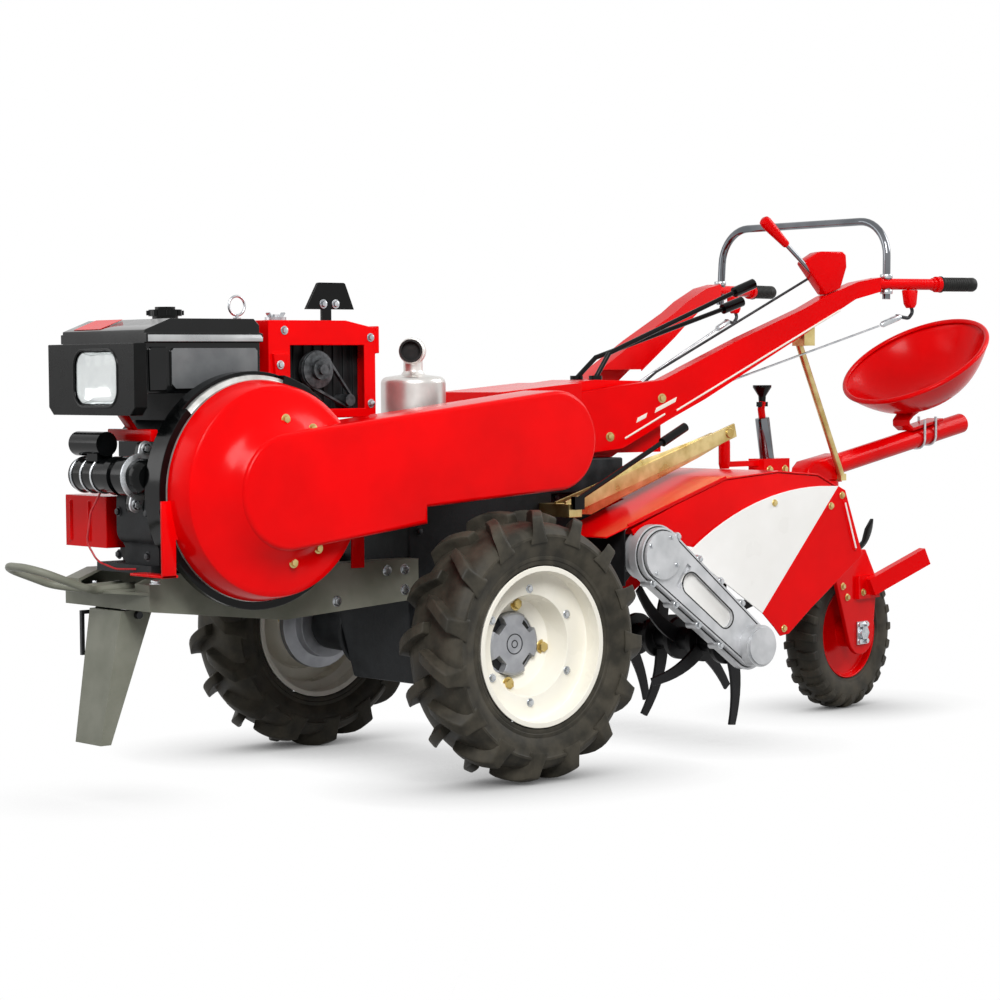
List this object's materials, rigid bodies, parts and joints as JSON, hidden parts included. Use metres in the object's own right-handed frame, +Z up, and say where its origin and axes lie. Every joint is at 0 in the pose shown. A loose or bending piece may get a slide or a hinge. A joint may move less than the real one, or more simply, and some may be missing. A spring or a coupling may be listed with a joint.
{
  "type": "power tiller",
  "caption": "Walking power tiller with a flat diesel engine, belt guard, lugged drive wheels, rotary tiller, tail wheel and pan seat.",
  "frame": {"origin": "on the ground, midway along the overall length, on the centre plane", "axes": "+X forward, +Y to the machine's left, +Z up"},
  "size_m": [3.0074, 0.976, 1.2796],
  "materials": {
    "red_paint": "gloss",
    "frame_paint": "satin",
    "cast_paint": "satin",
    "bright_steel": "satin",
    "black_paint": "gloss",
    "chrome_plate": "polished",
    "grip_rubber": "matte",
    "white_paint": "gloss",
    "lens_glass": "gloss",
    "zinc_plate": "satin",
    "core_metal": "satin",
    "lamp_plastic": "gloss",
    "cast_alloy": "satin",
    "tyre_rubber": "matte"
  },
  "bodies": {
    "chassis": {"front_frame": "frame_paint", "tow_loop": "frame_paint", "stand_pin": "bright_steel", "engine_block": "cast_paint", "cylinder_head": "cast_paint", "starter": "black_paint", "air_box": "red_paint", "fuel_tank": "black_paint", "fuel_cap": "lamp_plastic", "headlamp": "lamp_plastic", "headlamp_lens": "lens_glass", "radiator_housing": "red_paint", "radiator_core": "core_metal", "fan_pulley": "black_paint", "flywheel": "cast_paint", "lifting_plate": "black_paint", "lifting_ring": "bright_steel", "muffler": "cast_paint", "belt_guard": "red_paint", "gearbox": "cast_paint", "axle_housings": "cast_paint", "console": "red_paint", "left_arm": "red_paint", "right_arm": "red_paint", "grips": "grip_rubber", "hoop": "chrome_plate", "clutch_lever": "red_paint", "lever_shroud": "red_paint", "steering_levers": "bright_steel", "shift_levers": "black_paint", "tiller_lever": "zinc_plate", "drive_case": "cast_paint", "hood": "red_paint", "hood_apron": "black_paint", "left_side_panel": "white_paint", "left_rear_panel": "red_paint", "right_side_panel": "white_paint", "right_rear_panel": "red_paint", "chain_case": "cast_alloy", "tail_beam": "red_paint", "depth_screw": "bright_steel", "crank_handle": "red_paint", "seat_tube": "red_paint", "seat_bracket": "red_paint", "seat_pan": "red_paint", "seat_stay": "zinc_plate"},
    "stand": {"front_stand": "frame_paint"},
    "left_wheel": {"left_hub": "bright_steel", "left_rim": "white_paint", "left_tyre": "tyre_rubber"},
    "right_wheel": {"right_hub": "bright_steel", "right_rim": "white_paint", "right_tyre": "tyre_rubber"},
    "rotor": {"rotor_shaft": "black_paint", "tines": "black_paint"},
    "tail_steer": {"tail_fork": "red_paint", "foot_bar": "red_paint", "tail_axle_bolt": "bright_steel"},
    "tail_wheel": {"tail_rim": "red_paint", "tail_tyre": "tyre_rubber"}
  },
  "joints": [
    {"name": "stand_fold", "type": "hinge", "parent": "chassis", "child": "stand", "pos_m": [1.2365, 0, 0.392], "axis": [0, 1, 0], "range_deg": [0, 80]},
    {"name": "left_wheel_spin", "type": "hinge", "parent": "chassis", "child": "left_wheel", "pos_m": [0.4575, 0.404, 0.298], "axis": [0, 1, 0], "continuous": true},
    {"name": "right_wheel_spin", "type": "hinge", "parent": "chassis", "child": "right_wheel", "pos_m": [0.4575, -0.404, 0.298], "axis": [0, 1, 0], "continuous": true},
    {"name": "rotor_spin", "type": "hinge", "parent": "chassis", "child": "rotor", "pos_m": [-0.3045, 0, 0.241], "axis": [0, 1, 0], "continuous": true},
    {"name": "tail_steer", "type": "hinge", "parent": "chassis", "child": "tail_steer", "pos_m": [-0.9525, 0, 0.5], "axis": [0, 0, 1], "range_deg": [-38.6, 21.4]},
    {"name": "tail_wheel_spin", "type": "hinge", "parent": "tail_steer", "child": "tail_wheel", "pos_m": [-1.00787, -0.00837, 0.202], "axis": [-0.1495, 0.9888, 0], "continuous": true}
  ]
}
